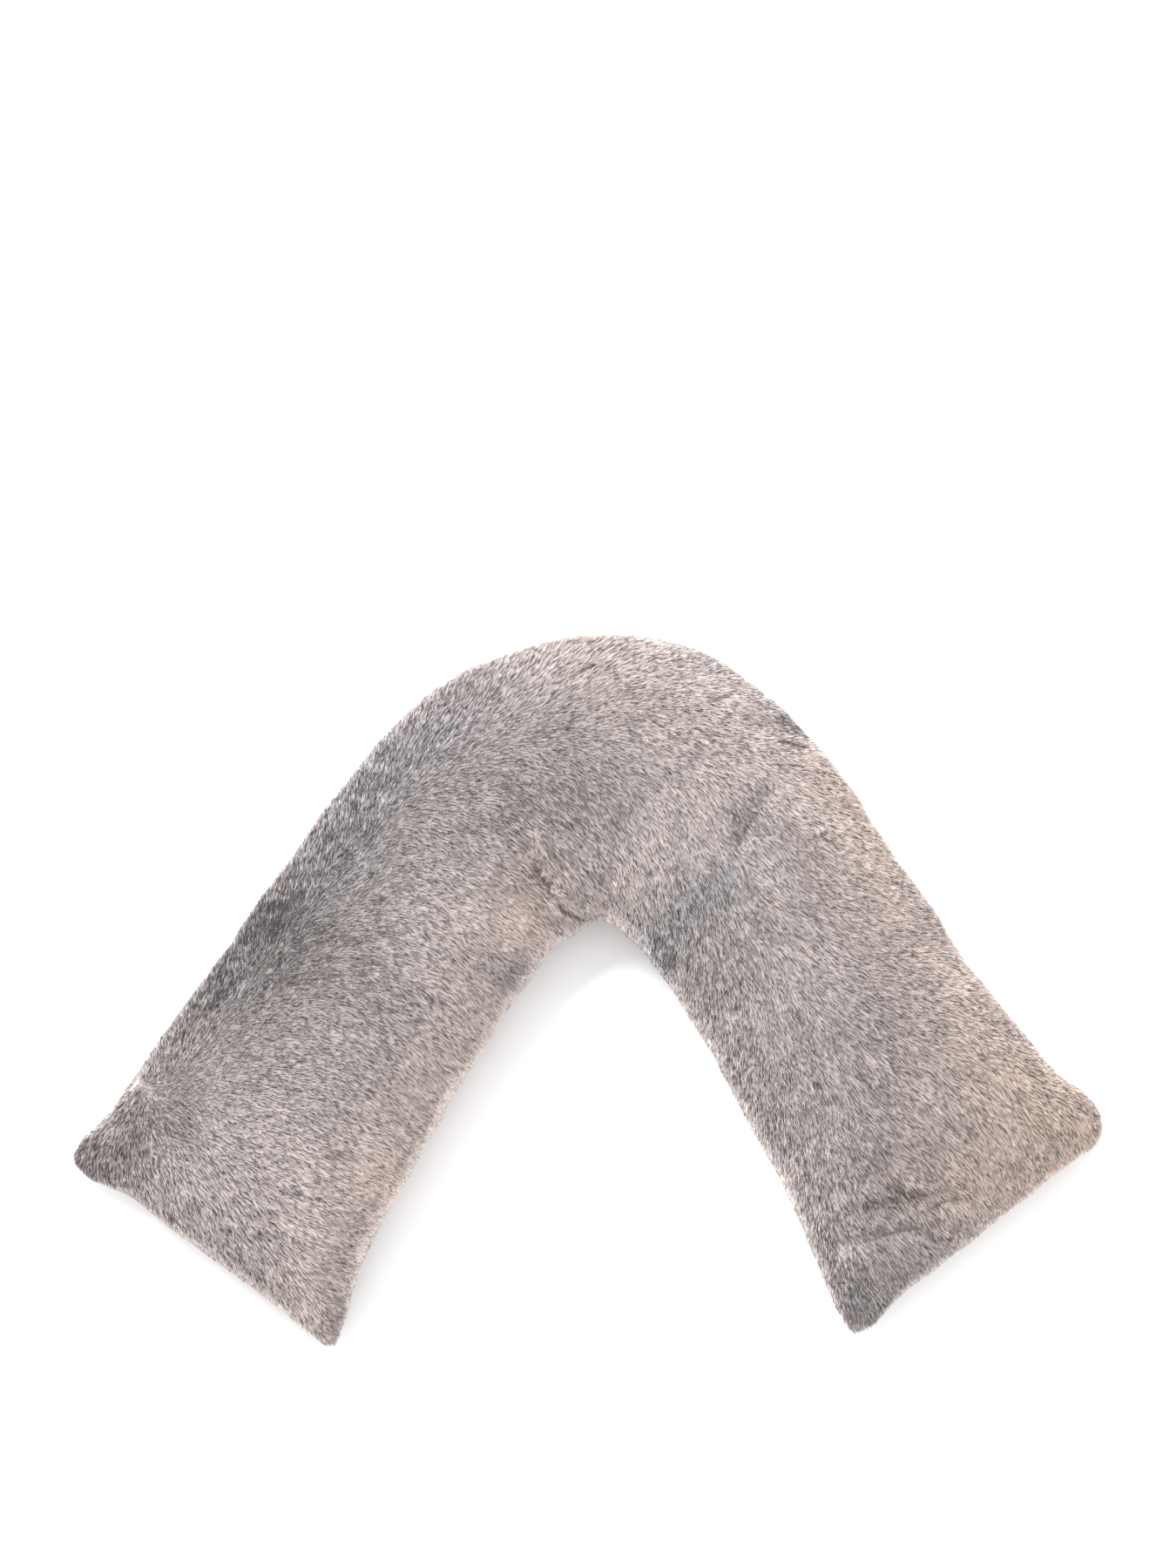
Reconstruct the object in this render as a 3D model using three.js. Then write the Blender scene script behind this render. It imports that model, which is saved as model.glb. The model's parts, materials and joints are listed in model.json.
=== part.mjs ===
import * as THREE from 'three';

// A V-shaped bed pillow in a short-pile cover, filled, lying on its back.
// Millimetres, +Z up. The bend points to +Y and the two open feet to -Y.
// The origin is the middle of the footprint, on the surface that it lies on.

const { degToRad, clamp, smoothstep } = THREE.MathUtils;

// The line down the middle of the pillow is a leg, a round bend and a leg.
const LEG_ANGLE = degToRad(56.8); // between each leg and the X axis
const BEND_RADIUS = 190;

// Sections across that line. along is the distance from the middle of the bend,
// negative down the left leg. outer and inner are the widths from the line to
// the two side seams, crown is the height of the top, and seam that of the seams.
const SECTIONS = [
  { along: -668, outer: 183, inner: 172, crown: 132, seam: 38 },
  { along: -630, outer: 178, inner: 163, crown: 138, seam: 44 },
  { along: -600, outer: 168, inner: 153, crown: 143, seam: 50 },
  { along: -560, outer: 164, inner: 145, crown: 148, seam: 56 },
  { along: -480, outer: 163, inner: 138, crown: 151, seam: 60 },
  { along: -390, outer: 158, inner: 132, crown: 149, seam: 60 },
  { along: -300, outer: 156, inner: 129, crown: 150, seam: 61 },
  { along: -210, outer: 153, inner: 133, crown: 153, seam: 62 },
  { along: -150, outer: 153, inner: 138, crown: 155, seam: 63 },
  { along: -90, outer: 167, inner: 140, crown: 158, seam: 64 },
  { along: -45, outer: 171, inner: 137, crown: 159, seam: 64 },
  { along: 0, outer: 177, inner: 134, crown: 160, seam: 64 },
  { along: 60, outer: 174, inner: 136, crown: 159, seam: 64 },
  { along: 120, outer: 154, inner: 141, crown: 156, seam: 63 },
  { along: 210, outer: 142, inner: 138, crown: 151, seam: 62 },
  { along: 300, outer: 144, inner: 136, crown: 148, seam: 60 },
  { along: 390, outer: 143, inner: 145, crown: 150, seam: 60 },
  { along: 480, outer: 151, inner: 151, crown: 151, seam: 59 },
  { along: 540, outer: 160, inner: 161, crown: 147, seam: 54 },
  { along: 575, outer: 177, inner: 168, crown: 141, seam: 48 },
  { along: 610, outer: 179, inner: 175, crown: 136, seam: 42 },
  { along: 655, outer: 179, inner: 181, crown: 130, seam: 38 },
];

// The feet are closed by a seam across. middle is where it crosses the line, and
// slant how much further the inner corner reaches than the outer one. Each corner
// pokes out past that seam by ear, and its tip is rounded off by round.
const LEFT_FOOT = {
  middle: -662,
  slant: 16,
  outer: { ear: 11, round: 14 },
  inner: { ear: 6, round: 7 },
};
const RIGHT_FOOT = {
  middle: 636,
  slant: 26,
  outer: { ear: 4, round: 38 },
  inner: { ear: 7, round: 14 },
};
const EAR_FROM = 0.56; // share of the half width where an ear starts
const EAR_FULL = 0.84; // and where it is at its longest
const CORNER_SHARE = 0.16; // of the half width, over which a corner is rounded
const CORNER_DROOP = 14; // how much lower a foot's corners hang than its middle

// The form of the filling between the seams.
const ROUNDNESS = 2.25; // power on the distance from the middle
const SHOULDER = 0.6; // power on the height, below 1 for full, upright sides
const FOOT_TAPER = 155; // length over which a foot thins out to its seam
const SINK = 24; // how far the filling would hang below the surface
const HEEL = 14; // height over which the underside curves off the surface

// Folds and hollows in the top, from end to end as distances along the line and
// outwards across it. depth is at the middle, and width is to each side.
const FOLDS = [
  { from: [-376, 100], to: [-366, 58], depth: 7, width: 17 },
  { from: [-312, 66], to: [-292, 34], depth: 8, width: 18 },
  { from: [-226, 92], to: [-228, 58], depth: 7, width: 17 },
  { from: [-104, -46], to: [-97, -84], depth: 6, width: 16 },
  { from: [-102, -92], to: [-52, -124], depth: 7, width: 17 },
  { from: [26, -92], to: [20, -122], depth: 5, width: 15 },
  { from: [190, -128], to: [172, -20], depth: 6, width: 34 },
  { from: [158, 4], to: [144, 66], depth: 7, width: 17 },
  { from: [110, 120], to: [128, 146], depth: 7, width: 17 },
  { from: [538, -100], to: [602, 26], depth: 8, width: 18 },
  { from: [560, -132], to: [598, -46], depth: 7, width: 16 },
  { from: [-520, 96], to: [-430, 118], depth: 5, width: 40 },
  { from: [-600, -40], to: [-560, 60], depth: 5, width: 36 },
  { from: [330, 40], to: [400, 70], depth: 5, width: 44 },
  { from: [430, -80], to: [470, -20], depth: 5, width: 38 },
];

const ALONG_STEPS = 96;
const ACROSS_STEPS = 22;
const CLOSER_AT_FEET = 0.55; // 0 for even steps along, 1 for the closest at the feet

const COVER = { color: 0xb1a6a4, roughness: 0.95, metalness: 0 };

// All the columns of the section table at any distance along the line.
const table = new THREE.CubicInterpolant(
  SECTIONS.map((row) => row.along),
  SECTIONS.flatMap((row) => [row.outer, row.inner, row.crown, row.seam]),
  4,
);

function sectionAt(along) {
  const first = SECTIONS[0].along;
  const last = SECTIONS[SECTIONS.length - 1].along;
  const [outer, inner, crown, seam] = table.evaluate(clamp(along, first, last));
  return { outer, inner, crown, seam };
}

// The point on the middle line, and the outward direction there.
function lineAt(along) {
  const turn = clamp(along / BEND_RADIUS, -LEG_ANGLE, LEG_ANGLE);
  const outward = new THREE.Vector2(Math.sin(turn), Math.cos(turn));
  const onward = new THREE.Vector2(Math.cos(turn), -Math.sin(turn));
  const straight = along - turn * BEND_RADIUS;
  const point = outward.clone().multiplyScalar(BEND_RADIUS).addScaledVector(onward, straight);
  return { point, outward };
}

// Where a foot's seam lies along the line, for a share across from -1 (inner)
// to 1 (outer). side is -1 for the left foot and 1 for the right one.
function footSeam(foot, side, across) {
  const corner = across > 0 ? foot.outer : foot.inner;
  const outwards = Math.abs(across);
  const tip = Math.max(0, (outwards - 1 + CORNER_SHARE) / CORNER_SHARE);
  const roundedOff = corner.round * (1 - Math.sqrt(1 - tip * tip));
  const reach = corner.ear * smoothstep(outwards, EAR_FROM, EAR_FULL) - roundedOff;
  return foot.middle + side * (reach - (foot.slant / 2) * across);
}

// The share of the full height, from 0 at a seam to 1 at the middle.
function fullness(fromMiddle) {
  return Math.pow(1 - Math.pow(Math.min(1, Math.abs(fromMiddle)), ROUNDNESS), SHOULDER);
}

// How deep the folds are at a place on the top.
function foldDepth(along, across) {
  const place = new THREE.Vector3(along, across, 0);
  const nearest = new THREE.Vector3();
  let depth = 0;
  for (const fold of FOLDS) {
    const stretch = new THREE.Line3(
      new THREE.Vector3(...fold.from, 0),
      new THREE.Vector3(...fold.to, 0),
    );
    stretch.closestPointToPoint(place, true, nearest);
    const share = nearest.distanceTo(place) / fold.width;
    depth += fold.depth * Math.exp(-share * share);
  }
  return depth;
}

// The underside: flat on the surface, curving up at its edges to the seams.
function liftOff(height) {
  if (height <= 0) return 0;
  if (height < 2 * HEEL) return (height * height) / (4 * HEEL);
  return height - HEEL;
}

// The top and underside points for a place on the grid.
function placeAt(alongShare, across) {
  const left = footSeam(LEFT_FOOT, -1, across);
  const right = footSeam(RIGHT_FOOT, 1, across);
  const along = left + (right - left) * alongShare;
  const section = sectionAt(along);
  const { point, outward } = lineAt(along);
  const offset = across * (across > 0 ? section.outer : section.inner);
  point.addScaledVector(outward, offset);

  const toFoot = Math.min(along - left, right - along) / FOOT_TAPER;
  const full = fullness(across) * fullness(1 - Math.min(1, toFoot));
  const droop = CORNER_DROOP * Math.pow(Math.abs(across), 3) * (1 - Math.min(1, toFoot));
  const seam = section.seam - droop;
  const folded = foldDepth(along, offset) * Math.min(1, 1.4 * full);
  const top = seam + (section.crown - seam) * full - folded;
  const under = liftOff(seam + HEEL - (seam + HEEL + SINK) * full);
  return { x: point.x, y: point.y, top, under };
}

function alongShareAt(step) {
  const even = step / ALONG_STEPS;
  const eased = (1 - Math.cos(Math.PI * even)) / 2;
  return even + (eased - even) * CLOSER_AT_FEET;
}

function acrossAt(step) {
  return Math.sin((Math.PI / 2) * ((2 * step) / ACROSS_STEPS - 1));
}

// One closed skin: a top and an underside that share the points of the seams.
function pillowGeometry() {
  const positions = [];
  const topIndex = [];
  const underIndex = [];
  for (let i = 0; i <= ALONG_STEPS; i += 1) {
    topIndex.push([]);
    underIndex.push([]);
    for (let j = 0; j <= ACROSS_STEPS; j += 1) {
      const place = placeAt(alongShareAt(i), acrossAt(j));
      const onSeam = i === 0 || i === ALONG_STEPS || j === 0 || j === ACROSS_STEPS;
      topIndex[i].push(positions.length / 3);
      positions.push(place.x, place.y, place.top);
      if (!onSeam) positions.push(place.x, place.y, place.under);
      underIndex[i].push(positions.length / 3 - 1);
    }
  }
  const faces = [];
  for (let i = 0; i < ALONG_STEPS; i += 1) {
    for (let j = 0; j < ACROSS_STEPS; j += 1) {
      const t = [topIndex[i][j], topIndex[i + 1][j], topIndex[i + 1][j + 1], topIndex[i][j + 1]];
      const b = [underIndex[i][j], underIndex[i + 1][j], underIndex[i + 1][j + 1], underIndex[i][j + 1]];
      // Each diagonal runs towards the nearest corner, so no triangle lies wholly on the seams.
      const flip = (i < ALONG_STEPS / 2) === (j < ACROSS_STEPS / 2);
      if (flip) {
        faces.push(t[0], t[1], t[2], t[0], t[2], t[3]);
        faces.push(b[0], b[2], b[1], b[0], b[3], b[2]);
      } else {
        faces.push(t[0], t[1], t[3], t[1], t[2], t[3]);
        faces.push(b[0], b[3], b[1], b[1], b[3], b[2]);
      }
    }
  }
  const geometry = new THREE.BufferGeometry();
  geometry.setAttribute('position', new THREE.Float32BufferAttribute(positions, 3));
  geometry.setIndex(faces);
  geometry.computeBoundingBox();
  const middle = geometry.boundingBox.getCenter(new THREE.Vector3());
  geometry.translate(-middle.x, -middle.y, 0);
  geometry.computeVertexNormals();
  return geometry;
}

const pillow = new THREE.Mesh(pillowGeometry(), new THREE.MeshStandardMaterial(COVER));
pillow.name = 'pillow';

const object = new THREE.Group();
object.add(pillow);

export default object;
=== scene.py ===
"""A V-shaped pillow in a short-pile fur cover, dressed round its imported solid.

The solid reaches to the tips of the pile. Here it gets its look: a padded body,
swollen by cloth simulation and creased as the cover is, tufts of pile that lean the
way the cover is brushed, and a plain pale studio. Everything is in metres, in the
frame of the solid.
"""

from __future__ import annotations

import json
import logging
import math
from dataclasses import dataclass
from enum import Enum

import bmesh
import bpy
import numpy as np
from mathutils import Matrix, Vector, noise
from mathutils.bvhtree import BVHTree

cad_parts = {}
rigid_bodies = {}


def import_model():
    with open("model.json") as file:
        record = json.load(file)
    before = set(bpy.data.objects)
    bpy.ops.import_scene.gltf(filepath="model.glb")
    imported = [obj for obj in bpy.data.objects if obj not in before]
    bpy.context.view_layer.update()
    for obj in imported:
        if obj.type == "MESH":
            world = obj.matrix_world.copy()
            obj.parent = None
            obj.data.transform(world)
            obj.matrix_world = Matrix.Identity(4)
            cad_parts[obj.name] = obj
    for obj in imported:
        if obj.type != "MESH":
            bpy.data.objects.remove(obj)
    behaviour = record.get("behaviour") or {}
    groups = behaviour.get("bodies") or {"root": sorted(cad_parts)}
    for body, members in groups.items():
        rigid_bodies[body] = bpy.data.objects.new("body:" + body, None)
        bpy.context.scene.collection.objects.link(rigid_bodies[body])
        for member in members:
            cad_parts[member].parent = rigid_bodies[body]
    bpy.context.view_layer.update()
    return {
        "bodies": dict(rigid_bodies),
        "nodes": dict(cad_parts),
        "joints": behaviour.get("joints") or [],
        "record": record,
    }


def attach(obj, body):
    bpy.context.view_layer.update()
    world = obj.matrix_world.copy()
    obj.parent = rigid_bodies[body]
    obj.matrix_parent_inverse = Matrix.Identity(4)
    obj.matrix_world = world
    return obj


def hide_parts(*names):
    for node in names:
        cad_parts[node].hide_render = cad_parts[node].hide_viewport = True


NODE = "pillow"
BODY = "root"
STRAND_MAP = "OFBake"
SEED_STEP = 1000

Mesh = bpy.types.Mesh
Node = bpy.types.Node
Tree = bpy.types.NodeTree
Socket = bpy.types.NodeSocket
Material = bpy.types.Material
Piece = bpy.types.Object
Given = dict[str, bpy.types.NodeSocket]

log = logging.getLogger("pillow")


# The V, seen from above.


@dataclass(frozen=True)
class Lie:
    """How the V lies: a straight leg, a round bend and a straight leg.

    Args:
        leg_angle: Angle between each leg and the X axis.
        bend_radius: Radius of the middle line at the bend.
        bend_centre: Centre of the bend.
    """

    leg_angle: float = math.radians(56.8)
    bend_radius: float = 0.190
    bend_centre: tuple[float, float] = (0.0146, 0.0131)

    def unbend(self, points: np.ndarray) -> tuple[np.ndarray, np.ndarray]:
        """Measures points along the middle line and across it.

        Args:
            points: Places, one a row.

        Returns:
            The distance along the line from the middle of the bend, negative down
            the left leg, and the distance outwards from the line.
        """
        apart = points[:, :2] - np.array(self.bend_centre)
        turn = np.clip(np.arctan2(apart[:, 0], apart[:, 1]), -self.leg_angle, self.leg_angle)
        outward = np.stack([np.sin(turn), np.cos(turn)], 1)
        onward = np.stack([np.cos(turn), -np.sin(turn)], 1)
        rest = apart - outward * self.bend_radius
        along = turn * self.bend_radius + (rest * onward).sum(1)
        return along, (rest * outward).sum(1)


def stretch_distance(
    points: np.ndarray, start: tuple[float, float], end: tuple[float, float]
) -> np.ndarray:
    """How far points are from a straight stretch, in the plane.

    Args:
        points: Places in the plane, one a row.
        start: One end of the stretch.
        end: The other end.

    Returns:
        One distance a point.
    """
    first = np.array(start)
    run = np.array(end) - first
    share = np.clip((points - first) @ run / max(run @ run, 1e-12), 0.0, 1.0)
    return np.linalg.norm(points - first - share[:, None] * run, axis=1)


@dataclass(frozen=True)
class Crease:
    """A fold in the front, placed along and across the V.

    Args:
        start: Along and across, at one end.
        end: Along and across, at the other end.
        depth: Depth at its middle.
        width: Reach to each side.
    """

    start: tuple[float, float]
    end: tuple[float, float]
    depth: float
    width: float


CREASES = (
    Crease((-0.226, 0.092), (-0.228, 0.058), 0.003, 0.010),
    Crease((-0.104, -0.046), (-0.097, -0.084), 0.004, 0.008),
    Crease((-0.102, -0.092), (-0.052, -0.124), 0.004, 0.008),
    Crease((0.026, -0.092), (0.020, -0.122), 0.003, 0.009),
    Crease((0.158, 0.004), (0.144, 0.066), 0.004, 0.008),
    Crease((0.110, 0.120), (0.128, 0.146), 0.004, 0.009),
    Crease((0.538, -0.100), (0.602, 0.026), 0.003, 0.009),
    Crease((0.560, -0.132), (0.598, -0.046), 0.003, 0.008),
)


@dataclass(frozen=True)
class Parting:
    """A thin line along which the pile parts, painted darker: partly its dark roots, partly painted shade
    in the gap.

    Args:
        line: Its points, seen from above.
        width: Reach to each side.
        strength: How dark it is painted, dark roots and painted shade together.
    """

    line: tuple[tuple[float, float], ...]
    width: float = 0.0022
    strength: float = 0.55


PARTINGS = (
    Parting(((-0.048, 0.146), (-0.036, 0.132), (-0.024, 0.120)), 0.0018, 0.60),
    Parting(((-0.056, 0.122), (-0.041, 0.102), (-0.026, 0.078), (-0.005, 0.070)), 0.0018, 0.54),
    Parting(((0.085, 0.018), (0.091, 0.041), (0.111, 0.083), (0.139, 0.103)), 0.0060, 0.14),
    Parting(((0.155, 0.140), (0.161, 0.155), (0.168, 0.166), (0.181, 0.183)), 0.0018, 0.50),
    Parting(((0.204, 0.257), (0.214, 0.255), (0.227, 0.253)), 0.0018, 0.50),
    Parting(((0.197, 0.282), (0.209, 0.285)), 0.0045, 0.20),
    Parting(((0.209, 0.285), (0.222, 0.271)), 0.0018, 0.40),
    Parting(((0.127, 0.297), (0.153, 0.309)), 0.0018, 0.30),
    Parting(((0.285, -0.263), (0.310, -0.256), (0.328, -0.251), (0.343, -0.249)), 0.0018, 0.54),
    Parting(((0.347, -0.232), (0.368, -0.221), (0.394, -0.219)), 0.0018, 0.45),
    Parting(((0.287, -0.228), (0.331, -0.222)), 0.0045, 0.22),
    Parting(((0.308, -0.206), (0.342, -0.215)), 0.0045, 0.19),
    Parting(((0.355, -0.255), (0.374, -0.262)), 0.0024, 0.27),
    Parting(((-0.278, 0.055), (-0.260, 0.061)), 0.0018, 0.54),
    Parting(((-0.257, 0.046), (-0.250, 0.037), (-0.241, 0.035)), 0.0024, 0.48),
    Parting(((-0.232, 0.021), (-0.217, 0.020)), 0.0045, 0.25),
    Parting(((-0.236, 0.044), (-0.223, 0.044)), 0.0018, 0.54),
    Parting(((-0.222, 0.111), (-0.215, 0.127)), 0.0018, 0.59),
    Parting(((-0.298, 0.082), (-0.296, 0.094)), 0.0018, 0.54),
    Parting(((-0.328, 0.064), (-0.308, 0.086)), 0.0080, 0.19),
    Parting(((-0.337, 0.057), (-0.326, 0.054)), 0.0018, 0.54),
    Parting(((-0.248, 0.188), (-0.242, 0.178)), 0.0024, 0.48),
    Parting(((-0.246, 0.137), (-0.252, 0.126)), 0.0024, 0.48),
    Parting(((-0.319, 0.000), (-0.292, 0.000)), 0.0024, 0.35),
    Parting(((-0.394, -0.025), (-0.380, -0.012)), 0.0050, 0.25),
    Parting(((-0.229, 0.149), (-0.216, 0.152)), 0.0050, 0.22),
    Parting(((-0.013, 0.325), (0.005, 0.333)), 0.0024, 0.31),
    Parting(((-0.085, 0.203), (-0.070, 0.189)), 0.0024, 0.27),
    Parting(((-0.129, 0.157), (-0.111, 0.162)), 0.0050, 0.19),
    Parting(((-0.230, 0.202), (-0.212, 0.203)), 0.0050, 0.22),
    Parting(((-0.025, 0.255), (-0.017, 0.274)), 0.0018, 0.35),
    Parting(((0.086, 0.119), (0.101, 0.119)), 0.0040, 0.19),
    Parting(((-0.340, -0.257), (-0.314, -0.258)), 0.0040, 0.19),
    Parting(((-0.376, -0.249), (-0.369, -0.251)), 0.0024, 0.27),
)


@dataclass(frozen=True)
class Stroke:
    """One stroke of the brush over the front.

    Args:
        x: Place.
        y: Place.
        heading: Way that the tips point, in degrees from +X towards +Y.
    """

    x: float
    y: float
    heading: float


STROKES = (
    # The left foot.
    Stroke(-0.53, -0.18, -100),
    Stroke(-0.48, -0.15, -60),
    Stroke(-0.42, -0.15, -16),
    Stroke(-0.41, -0.24, -35),
    Stroke(-0.34, -0.19, -12),
    Stroke(-0.36, -0.30, -32),
    Stroke(-0.28, -0.25, -20),
    Stroke(-0.29, -0.35, -42),
    Stroke(-0.24, -0.15, -30),
    Stroke(-0.18, -0.12, -48),
    # The left leg.
    Stroke(-0.43, -0.05, 50),
    Stroke(-0.37, 0.04, 62),
    Stroke(-0.35, -0.06, -2),
    Stroke(-0.30, 0.02, 18),
    Stroke(-0.29, -0.07, -12),
    Stroke(-0.24, 0.05, 5),
    Stroke(-0.23, -0.03, -31),
    Stroke(-0.17, 0.05, -28),
    Stroke(-0.17, -0.04, -43),
    Stroke(-0.12, 0.00, -44),
    Stroke(-0.08, 0.06, -35),
    # The left shoulder.
    Stroke(-0.31, 0.12, 47),
    Stroke(-0.24, 0.18, 60),
    Stroke(-0.23, 0.12, 30),
    Stroke(-0.17, 0.14, -26),
    Stroke(-0.18, 0.26, 44),
    Stroke(-0.12, 0.24, 8),
    Stroke(-0.12, 0.30, 38),
    Stroke(-0.11, 0.14, -32),
    Stroke(-0.06, 0.23, -34),
    Stroke(-0.05, 0.15, -45),
    # The top of the bend.
    Stroke(-0.06, 0.35, 41),
    Stroke(0.00, 0.34, 20),
    Stroke(-0.04, 0.29, 24),
    Stroke(0.07, 0.34, -12),
    Stroke(0.01, 0.28, 5),
    Stroke(0.00, 0.20, -50),
    Stroke(0.01, 0.13, -53),
    Stroke(0.06, 0.23, -38),
    Stroke(0.06, 0.15, -60),
    Stroke(0.06, 0.09, -75),
    Stroke(0.12, 0.28, -24),
    Stroke(0.12, 0.17, -60),
    # The right shoulder.
    Stroke(0.12, 0.09, -72),
    Stroke(0.17, 0.26, -25),
    Stroke(0.17, 0.18, -68),
    Stroke(0.17, 0.11, -48),
    Stroke(0.22, 0.22, -30),
    Stroke(0.23, 0.14, -54),
    Stroke(0.17, 0.05, -48),
    Stroke(0.23, 0.04, -42),
    Stroke(0.29, 0.12, -31),
    Stroke(0.29, 0.06, -20),
    Stroke(0.35, 0.05, -6),
    # The right leg.
    Stroke(0.12, 0.00, -75),
    Stroke(0.17, -0.03, -62),
    Stroke(0.23, -0.04, -48),
    Stroke(0.29, -0.01, -32),
    Stroke(0.36, -0.02, -34),
    Stroke(0.41, 0.00, -40),
    Stroke(0.18, -0.12, -62),
    Stroke(0.24, -0.13, -58),
    Stroke(0.31, -0.12, -36),
    Stroke(0.37, -0.10, -46),
    Stroke(0.42, -0.11, -62),
    Stroke(0.48, -0.12, -55),
    # The right foot.
    Stroke(0.23, -0.20, -60),
    Stroke(0.30, -0.19, -34),
    Stroke(0.36, -0.20, -34),
    Stroke(0.43, -0.18, -65),
    Stroke(0.53, -0.14, -60),
    Stroke(0.29, -0.26, -45),
    Stroke(0.36, -0.27, -45),
    Stroke(0.41, -0.24, -60),
    Stroke(0.28, -0.34, -68),
)


@dataclass(frozen=True)
class Zone:
    """A place where the pile shows paler, darker, warmer or cooler.

    Args:
        start: One end, seen from above.
        end: The other end.
        width: Reach to each side.
        tone: Paler above 0, darker below.
        warmth: Warmer above 0, cooler below.
    """

    start: tuple[float, float]
    end: tuple[float, float]
    width: float
    tone: float
    warmth: float = 0.0


ZONES = (
    Zone((-0.356, -0.006), (-0.256, 0.133), 0.070, -0.13, -0.20),
    Zone((-0.340, 0.075), (-0.440, -0.060), 0.030, -0.10, -0.08),
    Zone((-0.256, 0.133), (-0.164, 0.246), 0.050, -0.06, -0.12),
    Zone((-0.245, 0.220), (-0.228, 0.245), 0.024, -0.10, -0.05),
    Zone((-0.240, 0.225), (-0.080, 0.300), 0.055, 0.03, -0.20),
    Zone((-0.034, 0.350), (0.265, 0.189), 0.075, 0.07, 0.06),
    Zone((0.240, 0.240), (0.290, 0.180), 0.040, 0.02, 0.25),
    Zone((0.070, 0.035), (0.145, 0.105), 0.028, -0.08, -0.38),
    Zone((0.115, 0.000), (0.175, 0.060), 0.035, -0.08, 0.05),
    Zone((0.180, -0.110), (0.295, -0.170), 0.045, -0.04, -0.03),
    Zone((0.241, -0.243), (0.340, -0.225), 0.040, -0.03),
    Zone((0.281, -0.324), (0.281, -0.324), 0.022, -0.07, -0.30),
    Zone((0.301, 0.123), (0.500, -0.150), 0.060, 0.05, 0.27),
    Zone((0.400, -0.110), (0.530, -0.150), 0.070, 0.02, 0.36),
    Zone((0.390, -0.230), (0.440, -0.200), 0.045, 0.08, 0.25),
    Zone((-0.216, -0.189), (-0.110, -0.030), 0.040, 0.10, 0.22),
    Zone((-0.070, 0.060), (-0.055, 0.115), 0.026, -0.03, 0.38),
    Zone((-0.121, 0.057), (-0.020, 0.062), 0.032, 0.08, 0.08),
    Zone((-0.010, 0.095), (0.050, 0.105), 0.035, 0.05, 0.04),
    Zone((-0.290, -0.330), (-0.225, -0.220), 0.045, 0.08, 0.16),
    Zone((-0.108, 0.283), (0.023, 0.217), 0.060, -0.08, -0.05),
    Zone((-0.120, 0.175), (0.000, 0.180), 0.036, -0.08, -0.05),
    Zone((0.170, 0.180), (0.235, 0.115), 0.026, -0.07),
    Zone((-0.527, -0.171), (-0.436, -0.144), 0.040, -0.15, -0.12),
    Zone((-0.490, -0.100), (-0.470, -0.120), 0.030, -0.05),
    Zone((-0.240, 0.115), (-0.225, 0.120), 0.026, 0.07),
    Zone((0.285, -0.185), (0.300, -0.180), 0.024, -0.07),
    Zone((0.520, -0.190), (0.540, -0.175), 0.030, 0.05, 0.05),
    Zone((0.330, -0.200), (0.400, -0.200), 0.040, 0.03, 0.24),
    Zone((-0.350, 0.060), (-0.230, -0.010), 0.035, -0.06),
    Zone((0.230, -0.060), (0.310, -0.060), 0.035, -0.05),
    Zone((0.290, -0.300), (0.285, -0.350), 0.025, -0.07),
    Zone((0.174, 0.293), (0.180, 0.288), 0.025, 0.05),
    Zone((0.110, 0.234), (0.120, 0.234), 0.025, -0.05),
    Zone((0.165, 0.000), (0.180, -0.010), 0.022, -0.04),
    Zone((-0.066, 0.062), (-0.056, 0.052), 0.026, 0.09),
    Zone((0.370, 0.035), (0.392, 0.010), 0.028, 0.08),
    Zone((-0.296, -0.172), (-0.296, -0.245), 0.030, 0.07),
    Zone((-0.185, 0.232), (-0.175, 0.238), 0.028, -0.06),
    Zone((-0.298, 0.054), (-0.298, 0.060), 0.028, -0.06),
    Zone((0.075, 0.375), (0.095, 0.372), 0.025, 0.07),
    Zone((0.140, 0.325), (0.150, 0.318), 0.025, 0.05),
    Zone((0.203, -0.200), (0.208, -0.215), 0.022, 0.05),
    Zone((0.320, 0.090), (0.330, 0.080), 0.022, 0.05),
    Zone((0.082, 0.148), (0.090, 0.140), 0.026, 0.05),
    Zone((0.052, 0.293), (0.060, 0.293), 0.026, -0.05),
    Zone((0.112, -0.006), (0.116, -0.010), 0.020, 0.05),
    Zone((-0.417, -0.115), (-0.410, -0.120), 0.026, -0.05),
    Zone((0.172, 0.178), (0.178, 0.170), 0.026, -0.05),
    Zone((0.290, -0.118), (0.296, -0.125), 0.026, -0.05),
)


class Panel(Enum):
    """The two cuts of the cover."""

    FRONT = "front"
    BACK = "back"


# Small mesh helpers.


def coordinates(mesh: Mesh) -> np.ndarray:
    """The places of a mesh's points.

    Args:
        mesh: The mesh.

    Returns:
        One place a row.
    """
    flat = np.empty(len(mesh.vertices) * 3, np.float32)
    mesh.vertices.foreach_get("co", flat)
    return flat.reshape(-1, 3).astype(float)


def set_coordinates(mesh: Mesh, places: np.ndarray) -> None:
    """Moves a mesh's points to places, one a row."""
    mesh.vertices.foreach_set("co", places.astype(np.float32).ravel())
    mesh.update()


def point_normals(mesh: Mesh) -> np.ndarray:
    """The outward direction at each point of a mesh.

    Args:
        mesh: The mesh.

    Returns:
        One direction a row.
    """
    flat = np.empty(len(mesh.vertices) * 3, np.float32)
    mesh.vertex_normals.foreach_get("vector", flat)
    return flat.reshape(-1, 3).astype(float)


def edge_pairs(mesh: Mesh) -> np.ndarray:
    """The two points that each edge of a mesh joins.

    Args:
        mesh: The mesh.

    Returns:
        Two point numbers a row.
    """
    flat = np.empty(len(mesh.edges) * 2, np.int32)
    mesh.edges.foreach_get("vertices", flat)
    return flat.reshape(-1, 2)


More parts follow.
